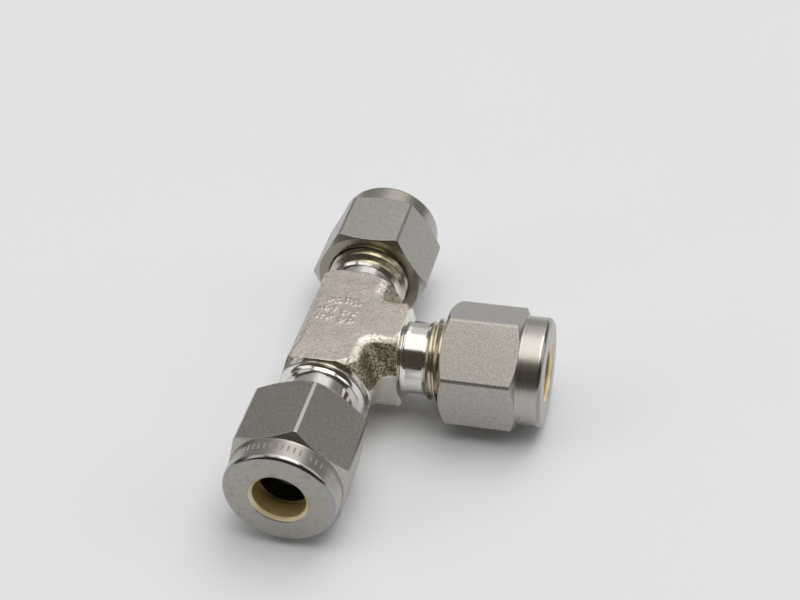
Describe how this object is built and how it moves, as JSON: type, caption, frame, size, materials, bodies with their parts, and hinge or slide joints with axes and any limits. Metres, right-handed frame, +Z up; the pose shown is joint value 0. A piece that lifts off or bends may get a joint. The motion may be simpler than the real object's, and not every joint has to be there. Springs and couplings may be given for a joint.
{
  "type": "compression fitting",
  "caption": "Steel tee that joins tubes with screw-on hexagon nuts over front and back ferrules; each nut turns on its thread and carries its ferrules in or out.",
  "frame": {"origin": "the point where the three port axes cross", "axes": "+Y along the run towards the far port, +X out of the branch port, +Z up out of the top forged flat"},
  "size_m": [0.0357, 0.0552, 0.0162],
  "materials": {
    "tee_steel": "forged and blasted outside, machined bright on the necks and threads",
    "nut_steel": "satin bar stock with turned collar and a dull straw-coloured plated bore",
    "ferrule_steel": "fine turned"
  },
  "bodies": {
    "tee": {"tee_body": "tee_steel"},
    "near_front": {"near_front_ferrule": "ferrule_steel"},
    "near_back": {"near_back_ferrule": "ferrule_steel"},
    "near_nut": {"near_nut": "nut_steel"},
    "far_front": {"far_front_ferrule": "ferrule_steel"},
    "far_back": {"far_back_ferrule": "ferrule_steel"},
    "far_nut": {"far_nut": "nut_steel"},
    "branch_front": {"branch_front_ferrule": "ferrule_steel"},
    "branch_back": {"branch_back_ferrule": "ferrule_steel"},
    "branch_nut": {"branch_nut": "nut_steel"}
  },
  "joints": [
    {"name": "near_front_slide", "type": "slide", "parent": "tee", "child": "near_front", "axis": [0, -1, 0], "range_m": [-0.00067, 0.00508]},
    {"name": "near_back_slide", "type": "slide", "parent": "tee", "child": "near_back", "axis": [0, -1, 0], "range_m": [-0.00067, 0.00508]},
    {"name": "near_nut_turn", "type": "hinge", "parent": "near_back", "child": "near_nut", "pos_m": [0, -0.0212, 0], "axis": [0, -1, 0], "range_deg": [-190, 1440]},
    {"name": "far_front_slide", "type": "slide", "parent": "tee", "child": "far_front", "axis": [0, 1, 0], "range_m": [-0.00067, 0.00508]},
    {"name": "far_back_slide", "type": "slide", "parent": "tee", "child": "far_back", "axis": [0, 1, 0], "range_m": [-0.00067, 0.00508]},
    {"name": "far_nut_turn", "type": "hinge", "parent": "far_back", "child": "far_nut", "pos_m": [0, 0.0212, 0], "axis": [0, 1, 0], "range_deg": [-190, 1440]},
    {"name": "branch_front_slide", "type": "slide", "parent": "tee", "child": "branch_front", "axis": [1, 0, 0], "range_m": [-0.00067, 0.00508]},
    {"name": "branch_back_slide", "type": "slide", "parent": "tee", "child": "branch_back", "axis": [1, 0, 0], "range_m": [-0.00067, 0.00508]},
    {"name": "branch_nut_turn", "type": "hinge", "parent": "branch_back", "child": "branch_nut", "pos_m": [0.0212, 0, 0], "axis": [1, 0, 0], "range_deg": [-190, 1440]}
  ],
  "couplings": [
    {"joint": "near_front_slide", "follows": "near_nut_turn", "m_per_rad": 0.00020213},
    {"joint": "near_back_slide", "follows": "near_nut_turn", "m_per_rad": 0.00020213},
    {"joint": "far_front_slide", "follows": "far_nut_turn", "m_per_rad": 0.00020213},
    {"joint": "far_back_slide", "follows": "far_nut_turn", "m_per_rad": 0.00020213},
    {"joint": "branch_front_slide", "follows": "branch_nut_turn", "m_per_rad": 0.00020213},
    {"joint": "branch_back_slide", "follows": "branch_nut_turn", "m_per_rad": 0.00020213}
  ]
}
